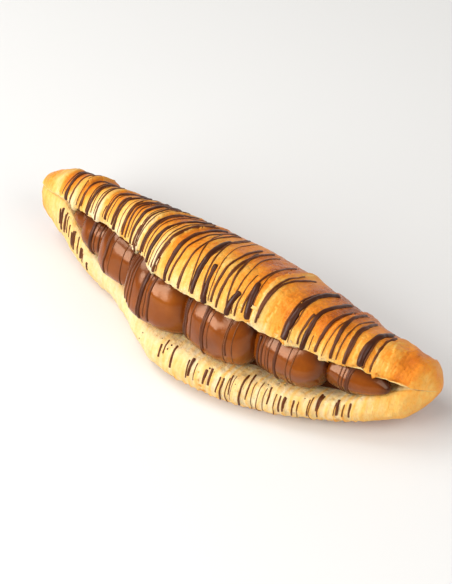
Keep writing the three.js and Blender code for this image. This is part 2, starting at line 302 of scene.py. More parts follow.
# Each wrap stands up at its edge, swells, and dips to where the next edge lies over it.
swell = 0.5 - crossed + 0.55 * np.sin(math.pi * np.clip(crossed, 0, 1)) ** 1.3
curl = np.exp(-((past_edge - 0.9) / 0.8) ** 2)
wrap_height = stands * np.clip(on_lid + on_back, 0, 1) + 0.2 * on_lip
wrap_height *= (1 - in_pocket) * (1 - 0.5 * on_tips)
raised = wrap_height * (swell + 0.22 * curl - 0.35)

# Where the dough pulled apart in the oven, its layers show as fine ridges beside the next edge.
RIDGE_SPACING = 1.4
stretched = smooth(crossed, 0.55, 0.85) * np.clip(on_lid + 0.4 * on_back, 0, 1)
stretched *= smooth(-crust_x, -45, -20)
ridge_run = crust_x - wrap_lean(crust_x) * 0.2 * (crust_place - LID_BACK) - 1.6 * wander
raised += 0.09 * stretched * np.sin(ridge_run * 2 * math.pi / RIDGE_SPACING)

# Thin leaves of dough end here and there within a wrap, in low broken steps with a pale lip.
LEAF_LENGTH = 3.6
toward_middle = np.where(run < MIDDLE_CREST, 1.0, -1.0)
ragged = over_crust(run * 0.11, 0.06, 15.0) + 0.16 * over_crust(run * 0.3, 0.7, 16.0)
leaf_run = run * toward_middle / LEAF_LENGTH + ragged
leaf = leaf_run % 1.0
leaf_end = smooth(leaf, 0.74, 0.98) * (1 - smooth(leaf, 0.985, 1.0))
broken = smooth(over_crust(run * 0.12, 0.14, 17.0), -0.15, 0.25)
leaves = broken * np.clip(on_lid + 0.8 * on_back, 0, 1) * (1 - in_pocket)
raised += leaves * 0.17 * (0.5 - leaf)

# The lid's edge is torn: it juts out where a wrap is full, and it is nicked between wraps. A flap of
# the middle wrap hangs out furthest, and the right horn's edge overhangs the end of the slit.
torn = over_crust(crust_x * 0.30, 0.05, 9.0)
nicks = over_crust(crust_x * 0.7, 0.2, 12.0)
flap = np.exp(-((crust_x - RIGHT_WRAPS[0][0] + 0.5) / 3.2) ** 4)
raised += on_edge * gape(crust_x) * (0.5 * torn + 0.28 * nicks + 0.3 * (swell - 0.3) + 1.1 * flap)
overhang = band(crust_x, (58, 64), (76, 81))
raised += on_edge * overhang * (0.7 + 0.9 * torn + 0.5 * nicks)

# The lower lip is smooth on the left, and frilled by its upright layers on the right.
FRILL_SPACING = 2.7
frilled = on_lip * band(crust_x, (-10, 12), (60, 74))
frill_run = crust_x + 1.7 * grain(crust_x * 0.16, crust[:, 2] * 0.10, crust[:, 1] * 0.1, 21.0)
frill = np.abs(np.sin(frill_run * math.pi / FRILL_SPACING)) ** 0.7 - 0.6
frill *= 1 + 0.9 * grain(crust_x * 0.2, crust[:, 2] * 0.1, crust[:, 1] * 0.1, 23.0)
down_front = smooth(np.where(crust_place > POCKET, 0, crust_place), 0.6, 2.2)
raised += frilled * 0.55 * frill * (0.35 + 0.65 * down_front)
raised += on_lip * 0.28 * grain(crust_x * 0.3, crust[:, 1] * 0.25, crust[:, 2] * 0.3, 25.0)

# Soft dents and blisters of the baked skin, the lumps of the two horns, and the open crumb inside.
raised += (1 - in_pocket) * (1 - on_base) * (
    0.36 * over_crust(crust_x * 0.09, 0.09, 31.0)
    + 0.20 * over_crust(crust_x * 0.36, 0.20, 35.0)
    + 0.08 * over_crust(crust_x * 1.0, 0.7, 37.0)
)
lumpy = on_lid * (smooth(crust_x, 62, 67) + 1 - smooth(crust_x, -72, -66))
raised += lumpy * 0.9 * over_crust(crust_x * 0.20, 0.16, 39.0)
raised += in_pocket * 0.3 * over_crust(crust_x * 0.5, 0.5, 41.0)
raised *= 1 - 0.9 * on_tips
crust = crust + crust_out * raised[:, None] + shift
crust[:, 2] = np.maximum(crust[:, 2], 0)
pastry_mesh.vertices.foreach_set("co", (crust * MM).ravel())

# How far each spot browned: most on the crests of the wraps, along the top and on the right horn, least
# at the torn edges and on the left half of the lower lip.
right_horn = smooth(crust_x, 63.5, 67.5)
left_horn = 1 - smooth(crust_x, -71, -66)
lid_warmth = np.interp(
    crust_x,
    [-60, -40, -14, 2, 20, 29, 36, 42, 60],
    [0.02, -0.04, -0.06, 0.0, 0.04, -0.04, -0.03, 0.04, 0.04],
)
lip_warmth = np.interp(
    crust_x,
    [-83, -68, -52, -10, 15, 45, 60, 72, 83],
    [0.34, 0.16, 0.02, 0.02, 0.06, 0.05, 0.12, 0.20, 0.28],
)
profile = np.interp(
    crust_place,
    [
        0, 1, 2.4, LIP_FOOT, 5, 7, 9, 11,
        12.5, 14, 15.2, 16.3, LID_EDGE, 17.8, POCKET, LIP_BACK, PLACES,
    ],
    [
        0.08, 0.08, 0.10, 0.30, 0.55, 0.64, 0.70, 0.68,
        0.62, 0.50, 0.36, 0.24, 0.15, 0.06, 0.04, 0.02, 0.08,
    ],
)
# The horns browned evenly, whatever the profile is elsewhere.
RIGHT_HORN_BROWNED = 0.46
LEFT_HORN_BROWNED = 0.38
profile += (
    (RIGHT_HORN_BROWNED - profile) * 0.8 * right_horn * on_lid
    + (LEFT_HORN_BROWNED - profile) * 0.8 * left_horn * on_lid
)
browned = profile + lid_warmth * on_lid + lip_warmth * on_lip
browned += 0.13 * np.clip(on_lid + on_back, 0, 1) * np.exp(-((past_edge - 2.2) / 2.4) ** 2)
browned -= 0.24 * stretched * (0.6 + 0.4 * smooth(crust_place, 12.5, 15.5))
browned -= 0.16 * leaves * leaf_end * (1 - 0.5 * on_back)
browned += 0.08 * leaves * (1 - smooth(leaf, 0.0, 0.3))
browned += 0.22 * over_crust(crust_x * 0.07, 0.09, 51.0) * (1 - in_pocket) * (1 - 0.6 * on_lip)
browned += 0.10 * lumpy * over_crust(crust_x * 0.16, 0.2, 53.0)
browned += frilled * 0.27 * (0.1 - frill)


def keep_on(mesh, name, values):
    """Stores one number for each point of a mesh, for its material to read."""
    layer = mesh.attributes.new(name, "FLOAT", "POINT")
    layer.data.foreach_set("value", np.asarray(values, np.float32))


keep_on(pastry_mesh, "browned", np.clip(browned, 0, 1))
keep_on(pastry_mesh, "crumb", np.clip(in_pocket, 0, 1))


def node(tree, kind, inputs=None, **settings):
    """Adds a shader node with its settings and inputs; an input that is a socket is linked."""
    made = tree.nodes.new(kind)
    for key, value in settings.items():
        setattr(made, key, value)
    for key, value in (inputs or {}).items():
        if isinstance(value, bpy.types.NodeSocket):
            tree.links.new(value, made.inputs[key])
        else:
            made.inputs[key].default_value = value
    return made


def ramp(tree, factor, stops):
    """A colour ramp over factor with these (position, colour) stops."""
    made = node(tree, "ShaderNodeValToRGB", {0: factor})
    elements = made.color_ramp.elements
    while len(elements) < len(stops):
        elements.new(0.5)
    for element, (position, colour) in zip(elements, stops):
        element.position = position
        element.color = (*colour, 1)
    return made.outputs["Color"]


def noisy(tree, spot, scale, detail=4.0, stretch=(1, 1, 1), roughness=0.55):
    """Noise in object space, stretched along the axes."""
    placed = node(tree, "ShaderNodeMapping", {"Vector": spot, "Scale": stretch})
    made = node(
        tree,
        "ShaderNodeTexNoise",
        {"Vector": placed.outputs[0], "Scale": scale, "Detail": detail, "Roughness": roughness},
    )
    return made.outputs["Fac"]


def sum_of(tree, first, second, times=1.0, offset=0.0):
    """first + (second + offset) * times."""
    moved = node(tree, "ShaderNodeMath", {0: second, 1: offset}, operation="ADD").outputs[0]
    scaled = node(tree, "ShaderNodeMath", {0: moved, 1: times, 2: first}, operation="MULTIPLY_ADD")
    return scaled.outputs[0]


def blend(tree, factor, first, second):
    """The first colour where factor is 0 and the second where it is 1."""
    mixed = node(tree, "ShaderNodeMix", {"Factor": factor, 6: first, 7: second}, data_type="RGBA")
    return mixed.outputs[2]


def set_relief(tree, skin, height, strength, distance):
    """Gives a shader fine relief from this height."""
    inputs = {"Height": height, "Strength": strength, "Distance": distance}
    tree.links.new(node(tree, "ShaderNodeBump", inputs).outputs[0], skin.inputs["Normal"])


def set_roughness(tree, skin, factor, start, end, rough_start, rough_end):
    """Makes roughness run from rough_start to rough_end as factor runs from start to end."""
    inputs = {0: factor, "From Min": start, "From Max": end, "To Min": rough_start, "To Max": rough_end}
    tree.links.new(node(tree, "ShaderNodeMapRange", inputs).outputs[0], skin.inputs["Roughness"])


crust_material = bpy.data.materials.new("baked_crust")
crust_material.use_nodes = True
tree = crust_material.node_tree
skin = tree.nodes["Principled BSDF"]
spot = node(tree, "ShaderNodeTexCoord").outputs["Object"]
browned_here = node(tree, "ShaderNodeAttribute", attribute_name="browned").outputs["Fac"]
crumb_here = node(tree, "ShaderNodeAttribute", attribute_name="crumb").outputs["Fac"]
patches = noisy(tree, spot, 95, 5)
streaks = noisy(tree, spot, 60, 6, stretch=(14, 1.6, 1.6), roughness=0.65)
freckles = noisy(tree, spot, 900, 3, roughness=0.7)
bake = sum_of(tree, browned_here, patches, 0.34, -0.5)
bake = sum_of(tree, bake, streaks, 0.42, -0.5)
bake = sum_of(tree, bake, freckles, 0.16, -0.5)
bake = sum_of(tree, bake, noisy(tree, spot, 330, 4, stretch=(1.5, 1, 1)), 0.26, -0.5)
colour = ramp(tree, bake, [
    (0.00, (0.88, 0.69, 0.39)),
    (0.14, (0.90, 0.62, 0.26)),
    (0.30, (0.92, 0.52, 0.125)),
    (0.45, (0.91, 0.38, 0.045)),
    (0.60, (0.88, 0.26, 0.012)),
    (0.78, (0.62, 0.14, 0.006)),
    (1.00, (0.22, 0.042, 0.004)),
])
crumb_colour = ramp(tree, noisy(tree, spot, 520, 4), [
    (0.30, (0.76, 0.46, 0.16)),
    (0.62, (0.92, 0.70, 0.34)),
])
tree.links.new(blend(tree, crumb_here, colour, crumb_colour), skin.inputs["Base Color"])
set_roughness(tree, skin, bake, 0.2, 0.8, 0.60, 0.27)
skin.inputs["Subsurface Weight"].default_value = 0.12
skin.inputs["Subsurface Radius"].default_value = (1.0, 0.45, 0.15)
skin.inputs["Subsurface Scale"].default_value = 0.0015
skin.inputs["Specular IOR Level"].default_value = 0.42
# Painted reflection colour: the reflections are tinted warm, as if they came from warm gold
# surroundings.
skin.inputs["Specular Tint"].default_value = (1.0, 0.82, 0.6, 1)
wrinkles = noisy(tree, spot, 120, 8, stretch=(9, 1.5, 1.5), roughness=0.7)
pores = noisy(tree, spot, 1100, 4, roughness=0.65)
leafy = node(
    tree,
    "ShaderNodeMath",
    {0: noisy(tree, spot, 150, 5, stretch=(2.6, 1, 1), roughness=0.6), 1: 0.09},
    operation="SNAP",
)
blisters = node(
    tree,
    "ShaderNodeTexVoronoi",
    {"Vector": spot, "Scale": 620, "Smoothness": 0.6},
    feature="SMOOTH_F1",
)
relief = sum_of(tree, wrinkles, pores, 0.35, -0.5)
relief = sum_of(tree, relief, blisters.outputs["Distance"], -0.45, -0.4)
relief = sum_of(tree, relief, leafy.outputs[0], 0.7, -0.5)
set_relief(tree, skin, relief, 0.8, 0.0011)

pastry_mesh.materials.append(crust_material)
pastry_mesh.shade_smooth()
pastry = bpy.data.objects.new("pastry_crust", pastry_mesh)
scene.collection.objects.link(pastry)
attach(pastry, "root")
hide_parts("pastry")

# ---- Chocolate cream ----------------------------------------------------------------------------
# Seven dollops of smooth, glossy milk-chocolate cream, piped side by side into the slit. Each is a
# ball pressed flat by its neighbours, which sags a little onto the lip and has soft folds.

cream_material = bpy.data.materials.new("chocolate_cream")
cream_material.use_nodes = True
tree = cream_material.node_tree
cream_skin = tree.nodes["Principled BSDF"]
spot = node(tree, "ShaderNodeTexCoord").outputs["Object"]
marbling = noisy(tree, spot, 70, 4)
cream_colour = ramp(tree, marbling, [
    (0.30, (0.150, 0.030, 0.0014)),
    (0.55, (0.220, 0.048, 0.0020)),
    (0.78, (0.300, 0.076, 0.0036)),
])
# Painted shade: the cream's colour is blended toward a near-black brown in its creases, under the lid
# and on the lip.
painted_shade_here = node(tree, "ShaderNodeAttribute", attribute_name="painted_shade").outputs["Fac"]
shaded_cream_colour = blend(tree, painted_shade_here, cream_colour, (0.045, 0.0060, 0.0006, 1))
tree.links.new(shaded_cream_colour, cream_skin.inputs["Base Color"])
set_roughness(tree, cream_skin, noisy(tree, spot, 160, 5), 0.3, 0.7, 0.13, 0.24)
cream_skin.inputs["Specular IOR Level"].default_value = 0.62
# Painted reflection colour: the reflections are tinted warm, as if they came from warm gold
# surroundings.
cream_skin.inputs["Specular Tint"].default_value = (1.0, 0.68, 0.47, 1)
cream_skin.inputs["Subsurface Weight"].default_value = 0.06
cream_skin.inputs["Subsurface Radius"].default_value = (1.0, 0.35, 0.12)
cream_skin.inputs["Subsurface Scale"].default_value = 0.0015
set_relief(tree, cream_skin, noisy(tree, spot, 190, 3), 0.2, 0.0008)

PRESSED_FRONT = 2.8  # 2 for a round front; larger where the cream spreads flat against its neighbours
PRESSED_BED = 4.6
PROUD = [-1.0, -0.3, 0.4, 0.6, 0.4, 0.2, 0.0]  # how far each dollop swells past its plain solid, in mm
SPILL = [0.0, 0.0, 0.04, 0.10, 0.06, 0.03, 0.0]  # how far it hangs out over the lip
MEETS_NEXT = 3.0 * MM  # how far it runs into the next dollop
FREE_END = 1.6  # how pointed the two ends of the row are
LEAN = 0.3  # how far their fullest part lies toward the middle of the row


def built(bm, name, material):
    """The smooth-shaded object of a finished bmesh."""
    mesh = bpy.data.meshes.new(name)
    bm.to_mesh(mesh)
    bm.free()
    mesh.materials.append(material)
    mesh.shade_smooth()
    made = bpy.data.objects.new(name, mesh)
    scene.collection.objects.link(made)
    return made


cream_pieces = []
for number, (proud, spill) in enumerate(zip(PROUD, SPILL), start=1):
    name = f"cream_dollop_{number:02d}"
    low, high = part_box(name)
    centre = (low + high) / 2
    half = (high - low) / 2
    full = half + Vector((0, proud, proud)) * MM
    to_left = MEETS_NEXT if number > 1 else 0
    to_right = MEETS_NEXT if number < len(PROUD) else 0
    free_side = (number == len(PROUD)) - (number == 1)
    bm = bmesh.new()
    painted_shade = bm.verts.layers.float.new("painted_shade")
    bmesh.ops.create_uvsphere(bm, u_segments=96, v_segments=72, radius=1)
    bmesh.ops.rotate(bm, verts=bm.verts, matrix=Matrix.Rotation(math.pi / 2, 3, "Y"))
    for v in bm.verts:
        along = max(-1.0, min(1.0, v.co.x))
        from_fullest = along + LEAN * free_side * (1 - along**2)
        ring = math.hypot(v.co.y, v.co.z)
        back = v.co.y / ring if ring > 1e-6 else 0.0
        up = v.co.z / ring if ring > 1e-6 else 0.0
        pressed = PRESSED_FRONT + (PRESSED_BED - PRESSED_FRONT) * (1 - max(0.0, -back)) ** 1.3
        if from_fullest * free_side > 0:
            pressed = FREE_END
        girth = max(0.0, 1 - abs(from_fullest) ** pressed) ** (1 / 2.1)
        fold = 0.016 * math.sin(6 * up + 2.2 * along + number)
        fold += 0.035 * noise.noise((3 * along + 5 * number, 2 * back, 2 * up))
        hang = max(0.0, 1 - ((up + 0.45) / 0.85) ** 2) ** 2 * max(0.0, -back) ** 1.5
        girth *= 1 + fold + spill * hang
        length = full.x + (to_right if along > 0 else to_left)
        v.co = centre + Vector((length * along, full.y * girth * back, full.z * girth * up))
        # Painted shade: it is darkest where it meets its neighbours, under the lid and on the lip.
        at_side = max(0.0, (abs(along) - 0.72) / 0.28)
        under_lid = max(0.0, (up - 0.62) / 0.38)
        at_lip = max(0.0, (-up - 0.7) / 0.3)
        v[painted_shade] = min(1.0, 0.9 * at_side**1.3 + 0.9 * under_lid + 0.7 * at_lip)
    dollop = built(bm, f"cream_{number:02d}", cream_material)
    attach(dollop, "root")
    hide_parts(name)
    cream_pieces.append(dollop)

# ---- Bed of cream -------------------------------------------------------------------------------
# Behind the dollops the same cream runs together into one soft bed that fills the pocket. It is a ball
# drawn out along the slit and squared off, held between the lid, the back and the lip.

BED_X = 4.0
BED_HALF_LENGTH = 66.0
BED_MIDDLE = (-16.8, 17.2)  # y and z in the middle cut, where the slit gapes
BED_HALF = (9.6, 9.6)
BED_SHUT = (-29.0, 33.2)  # y and z in it where the slit is shut
SQUARED = 3.5  # 2 for a round bed; larger for a squarer one
bm = bmesh.new()
painted_shade = bm.verts.layers.float.new("painted_shade")
bmesh.ops.create_uvsphere(bm, u_segments=48, v_segments=150, radius=1)
bmesh.ops.rotate(bm, verts=bm.verts, matrix=Matrix.Rotation(math.pi / 2, 3, "Y"))
bed_ball = np.array([v.co for v in bm.verts])
bed_x = BED_X + BED_HALF_LENGTH * (2 * np.arcsin(np.clip(bed_ball[:, 0], -1, 1)) / math.pi)
bed_round = np.sqrt(np.clip(1 - ((bed_x - BED_X) / BED_HALF_LENGTH) ** 6, 0, 1))
bed_across = np.abs(bed_ball[:, 1:]) ** SQUARED
bed_squared = np.maximum((bed_across[:, 0] + bed_across[:, 1]) ** (1 / SQUARED), 1e-9)
opened = gape(bed_x)
bed_y, bed_z = (
    BED_MIDDLE[k] * opened
    + BED_SHUT[k] * (1 - opened)
    + BED_HALF[k] * bed_round * opened * bed_ball[:, k + 1] / bed_squared
    for k in (0, 1)
)
bed_points = in_cut(bed_x, bed_y, bed_z) + shift
bed_points += 0.25 * grain(bed_x * 0.3, bed_y * 0.3, bed_z * 0.3, 61.0)[:, None]
for v, point in zip(bm.verts, bed_points):
    v.co = Vector(point) * MM
    # Painted shade: the whole bed gets much of the dark shade colour, as if it lay in shadow behind the
    # dollops.
    v[painted_shade] = 0.8
bmesh.ops.recalc_face_normals(bm, faces=bm.faces)
cream_bed = built(bm, "cream_bed", cream_material)
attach(cream_bed, "root")
cream_pieces.append(cream_bed)

# ---- Dark chocolate over the lid ----------------------------------------------------------------
# Dark chocolate that was drizzled to and fro over the finished croissant and has set. A strand is a
# ball drawn out along its run and laid on what is straight below it, domed on top and flat beneath.

chocolate_material = bpy.data.materials.new("dark_chocolate")
chocolate_material.use_nodes = True
tree = chocolate_material.node_tree
chocolate_skin = tree.nodes["Principled BSDF"]
spot = node(tree, "ShaderNodeTexCoord").outputs["Object"]
stoutness = node(tree, "ShaderNodeAttribute", attribute_name="stoutness").outputs["Fac"]
depth = sum_of(tree, stoutness, noisy(tree, spot, 260, 4), 0.7, -0.5)
chocolate_colour = ramp(tree, depth, [
    (0.00, (0.230, 0.070, 0.0120)),
    (0.30, (0.140, 0.037, 0.0065)),
    (0.70, (0.086, 0.020, 0.0038)),
    (1.00, (0.050, 0.011, 0.0025)),
])
tree.links.new(chocolate_colour, chocolate_skin.inputs["Base Color"])
chocolate_skin.inputs["Roughness"].default_value = 0.34
chocolate_skin.inputs["Specular IOR Level"].default_value = 0.25
set_relief(tree, chocolate_skin, noisy(tree, spot, 700, 3), 0.25, 0.0003)

bpy.context.view_layer.update()
depsgraph = bpy.context.evaluated_depsgraph_get()
pastry_tops = [BVHTree.FromObject(pastry, depsgraph)]
cream_tops = [BVHTree.FromObject(dollop, depsgraph) for dollop in cream_pieces]
FALL_FROM = 0.08
BREAK = 1.5 * MM  # a fall longer than this between two steps parts a strand
STEP = 0.4 * MM


def drop(x, y, tops):
    """The highest point of these surfaces under (x, y), and the direction out of it."""
    hits = [top.ray_cast(Vector((x, y, FALL_FROM)), Vector((0, 0, -1)))[:2] for top in tops]
    return max((hit for hit in hits if hit[0] is not None), key=lambda hit: hit[0].z, default=None)


PARTING_Y = -30.0  # in the middle cut, as the two heights are
PARTING_OPEN = 24.0
PARTING_SHUT = 33.2


def parting(x):
    """The height between the lower lip and the lid at x."""
    at = np.array([x / MM - shift[0]])
    opened = gape(at)
    height = PARTING_OPEN * opened + PARTING_SHUT * (1 - opened)
    return float(in_cut(at, np.array([PARTING_Y]), height)[0, 2]) * MM


UNDER_LID = 2.5 * MM
OFF_FLOOR = 2.5 * MM  # nothing lower than this catches any chocolate
FALL_STEPS = 150
SHORTEST_RUN = 4  # a run of fewer steps than this is left out


def fall(route, kind):
    """Lets chocolate fall along route(share) and gives the runs that lie on the lid, cream or lip."""
    runs, last = [], None
    for i in range(FALL_STEPS + 1):
        x, y = route(i / FALL_STEPS)
        divide = parting(x)
        crust_hit, cream_hit = drop(x, y, pastry_tops), drop(x, y, cream_tops)
        if kind == "cream":
            # The strand starts a little way in under the lid's edge, where that hides it.
            before_edge = drop(x, y - UNDER_LID, pastry_tops)
            hit = cream_hit if before_edge is None or before_edge[0].z < divide else None
        else:
            covered = cream_hit and crust_hit and cream_hit[0].z > crust_hit[0].z
            hit = None if covered else crust_hit
            if hit and (hit[0].z > divide) != (kind == "lid"):
                hit = None
        if hit is None or hit[0].z < OFF_FLOOR:
            last = None
            continue
        if last is None or abs(hit[0].z - last.z) > BREAK:
            runs.append([])
        runs[-1].append(hit)
        last = hit[0]
    return [run for run in runs if len(run) >= SHORTEST_RUN]


def trickle(run, distance, tops):
    """Lets the end of a run creep on down the steep side of what it lies on."""
    for _ in range(int(distance / STEP)):
        place, normal = run[-1]
        downhill = Vector((0, 0, -1)) + normal * normal.z
        if downhill.length < 0.15:
            break
        aim = place + downhill.normalized() * STEP
        if tops is cream_tops and pastry_tops[0].find_nearest(aim)[3] < 0.3 * MM:
            break
        nearest = min((top.find_nearest(aim) for top in tops), key=lambda found: found[3])
        run.append((nearest[0], nearest[1]))
    return run


def averaged(rows, reach):
    """Each row of numbers averaged with this many rows before it and after it."""
    padded = np.concatenate([rows[:1].repeat(reach, 0), rows, rows[-1:].repeat(reach, 0)])
    return sum(padded[k : k + len(rows)] for k in range(2 * reach + 1)) / (2 * reach + 1)


ROUND_STRAND = 8  # points round a strand
MOST_RINGS = 140
PROBE = 2.5 * MM  # how far off the surface the search for it starts
NO_SURFACE = -0.6 * MM  # the height taken where it finds none
DEEPEST = 0.9 * MM  # how far a strand's sides follow the surface down, and up
HIGHEST = 0.5 * MM
UNDERSIDE = 0.03 * MM  # how far the underside sinks in at least


def lay_strand(bm, run, width, seed, stout, tops):
    """Draws a ball out along a run, so that it lies there as a strand of this width, soft enough to
    take the shape of what is under it, and smooth on top."""
    points = np.array([hit[0] for hit in run])
    outward = np.array([hit[1] for hit in run])
    lengths = np.append(0, np.cumsum(np.linalg.norm(np.diff(points, axis=0), axis=1)))
    rings = max(6, min(MOST_RINGS, round(lengths[-1] / STEP)))
    at = np.linspace(0, lengths[-1], rings + 1)
    points = averaged(np.stack([np.interp(at, lengths, column) for column in points.T], axis=1), 2)
    outward = averaged(np.stack([np.interp(at, lengths, column) for column in outward.T], axis=1), 4)
    outward /= np.linalg.norm(outward, axis=1, keepdims=True)
    side = np.cross(np.gradient(points, axis=0), outward)
    side /= np.linalg.norm(side, axis=1, keepdims=True)
    swelling = np.array([
        1 + 0.42 * noise.noise((seed, 90 * a, 0)) + 0.2 * noise.noise((seed, 400 * a, 5)) for a in at
    ])
    to_end = np.minimum(at, at[-1] - at) / (0.6 * width)
    thick = width * swelling * np.sqrt(1 - np.clip(1 - to_end, 0, 1) ** 2)
    tall = np.minimum(0.5 * thick, 0.24 * MM + 0.16 * thick)

    columns = np.round(np.cos(np.arange(ROUND_STRAND) * 2 * math.pi / ROUND_STRAND), 6)
    beneath = {}
    for column in sorted(set(columns)):
        start = points + side * (column * thick / 2)[:, None]
        found = []
        for place, out in zip(start, outward):
            above = Vector(place + out * PROBE)
            hits = [top.ray_cast(above, Vector(-out), 2 * PROBE)[3] for top in tops]
            hits = [distance for distance in hits if distance is not None]
            found.append(PROBE - min(hits) if hits else NO_SURFACE)
        beneath[column] = np.array(found)
    centre = beneath[sorted(beneath)[len(beneath) // 2]]
    made = bmesh.ops.create_uvsphere(bm, u_segments=ROUND_STRAND, v_segments=rings, radius=1)
    for v in made["verts"]:
        ring = round(math.acos(max(-1.0, min(1.0, v.co.z))) / math.pi * rings)
        pole = ring in (0, rings)
        around = math.atan2(v.co.y, v.co.x) / (2 * math.pi)
        turn_round = 0 if pole else round(around * ROUND_STRAND) % ROUND_STRAND
        column = columns[turn_round]
        height = np.clip(beneath[column], centre - DEEPEST, centre + HIGHEST)
        eased = np.maximum(averaged(height, 2), height)
        lift = 0.0 if pole else math.sin(turn_round * 2 * math.pi / ROUND_STRAND)
        if lift > 0.01:
            rise = eased[ring] + tall[ring] * lift
        else:
            rise = height[ring] - (UNDERSIDE - 0.15 * MM * lift)
        across = 0.0 if pole else column * thick[ring] / 2
        v.co = Vector(points[ring] + side[ring] * across + outward[ring] * rise)
        v[stout] = min(1.0, thick[ring] / (1.8 * MM))


def drizzle(name, slot_nodes, strands):
    """One piece of chocolate made of strands, each a run, a width, a seed and what it lies on."""
    bm = bmesh.new()
    stout = bm.verts.layers.float.new("stoutness")
    for run, width, seed, tops in strands:
        lay_strand(bm, run, width, seed, stout, tops)
    piece = built(bm, name, chocolate_material)
    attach(piece, "root")
    if slot_nodes:
        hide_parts(*slot_nodes)


def strand_line(name):
    """The ends of a CAD strand in plan: (x, y) at its back and at its front, and its width."""
    points = np.array([v.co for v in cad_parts[name].data.vertices])
    slope, start = np.polyfit(points[:, 1], points[:, 0], 1)
    front, back = points[:, 1].min(), points[:, 1].max()
    width = np.ptp(points[:, 0] - slope * points[:, 1])
    return (start + slope * back, back), (start + slope * front, front), width


def wavy(back, front, seed, sway=0.35 * MM):
    """A route in plan from the back to the front, with a slow sway."""
    def route(share):
        slow = noise.noise((seed * 7.7, share * 3.0, 0.5))
        quick = noise.noise((seed, share * 9.0, 2.5))
        x = back[0] + (front[0] - back[0]) * share
        x += sway * slow + 0.4 * sway * quick
        return x, back[1] + (front[1] - back[1]) * share
    return route


chance = random.Random(11)
lid_names = sorted(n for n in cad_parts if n.startswith("lid_strand"))
for k, name in enumerate(lid_names):
    back, front, width = strand_line(name)
    front = (front[0], front[1] - 1.2 * MM)
    runs = fall(wavy(back, front, k), "lid")
    runs[-1] = trickle(runs[-1], chance.uniform(0.3, 1.6) * MM, pastry_tops)
    drawn = 0.60 + 0.24 * k / len(lid_names)
    strands = [(run, width * drawn, k + j * 0.37, pastry_tops) for j, run in enumerate(runs)]
    drizzle(f"lid_drizzle_{k + 1:02d}", [name], strands)

# ---- Dark chocolate over the cream and the lip --------------------------------------------------
# The same strands go on from under the lid's edge: over the fronts of the dollops, where they creep
# down as they set, and then over the lip.

for kind, tops in (("cream", cream_tops), ("lip", pastry_tops)):
    names = sorted(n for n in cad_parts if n.startswith(f"{kind}_strand"))
    for k, name in enumerate(names):
        back, front, width = strand_line(name)
        back = (back[0], back[1] + 4.0 * MM)
        front = (front[0], front[1] - 0.6 * MM)
        runs = fall(wavy(back, front, 60 + k), kind)
        if kind == "cream":
            runs = [trickle(max(runs, key=len), chance.uniform(5, 12) * MM, tops)]
        drawn = 0.85 if kind == "cream" else 0.55
        strands = [(run, width * drawn, 60 + k + j * 0.37, tops) for j, run in enumerate(runs)]
        drizzle(f"{kind}_drizzle_{k + 1:02d}", [name], strands)

# ---- Fine threads -------------------------------------------------------------------------------
# Hair-thin threads of the same chocolate, drizzled with the thick strands, run between them and mostly
# close beside them. On the cream and on the lip they come in bunches.

first_lid, last_lid = (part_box(name) for name in (lid_names[0], lid_names[-1]))
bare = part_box("lid_strand_21")[1].x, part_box("lid_strand_22")[0].x - 1.5 * MM
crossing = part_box("lid_strand_15")[0].x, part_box("lid_strand_20")[1].x
lid_threads = []
x = first_lid[0].x - 3 * MM
while x < last_lid[1].x:
    x += chance.uniform(1.4, 3.6) * MM
    if bare[0] < x < bare[1]:
        continue
    lean = float(wrap_lean(np.array(x / MM))) + chance.uniform(-1.2, 1.2)
    if crossing[0] < x < crossing[1] and chance.random() < 0.5:
        lean += chance.uniform(4, 8)
    back_y = chance.choice([16, 15, 14, 12, 8, chance.uniform(-8, 8)])
    route = wavy((x - lean / 2 * MM, back_y * MM), (x + lean / 2 * MM, -26 * MM), x / MM, 0.7 * MM)
    width = chance.choice([0.35, 0.45, 0.5, 0.7, 0.9]) * MM
    lid_threads += [(run, width, x / MM + j, pastry_tops) for j, run in enumerate(fall(route, "lid"))]
drizzle("lid_threads", [], lid_threads)

# Each bunch on the cream: its dollop, where it starts and ends across the dollop's width (-1 to 1),
# how many threads it has, and how far they creep, in mm.
CREAM_BUNCHES = [
    (2, -0.3, 0.6, 3, 5),
    (3, -0.7, -0.2, 3, 5), (3, 0.2, 0.7, 2, 5),
    (4, -0.95, -0.6, 4, 2), (4, -0.3, 0.2, 3, 3),
    (5, -0.85, -0.55, 3, 4), (5, -0.1, 0.15, 2, 6), (5, 0.5, 0.85, 3, 9),
    (6, -0.6, -0.2, 3, 10), (6, 0.25, 0.55, 2, 10),
    (7, -0.4, 0.05, 4, 8),
]
cream_threads = []
for number, start, end, count, creep in CREAM_BUNCHES:
    low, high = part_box(f"cream_dollop_{number:02d}")
    for i in range(count):
        share = start + (end - start) * (i + chance.uniform(0.2, 0.8)) / count
        x = (low.x + high.x) / 2 + (high.x - low.x) / 2 * share
        route = wavy((x, 0), (x + chance.uniform(-0.8, 0.8) * MM, -27 * MM), x / MM, 0.5 * MM)
        runs = fall(route, "cream")
        if runs:
            run = trickle(max(runs, key=len), creep * chance.uniform(0.5, 1.3) * MM, cream_tops)
            cream_threads.append((run, chance.choice([0.4, 0.5, 0.7, 0.9]) * MM, x / MM, cream_tops))
drizzle("cream_threads", [], cream_threads)

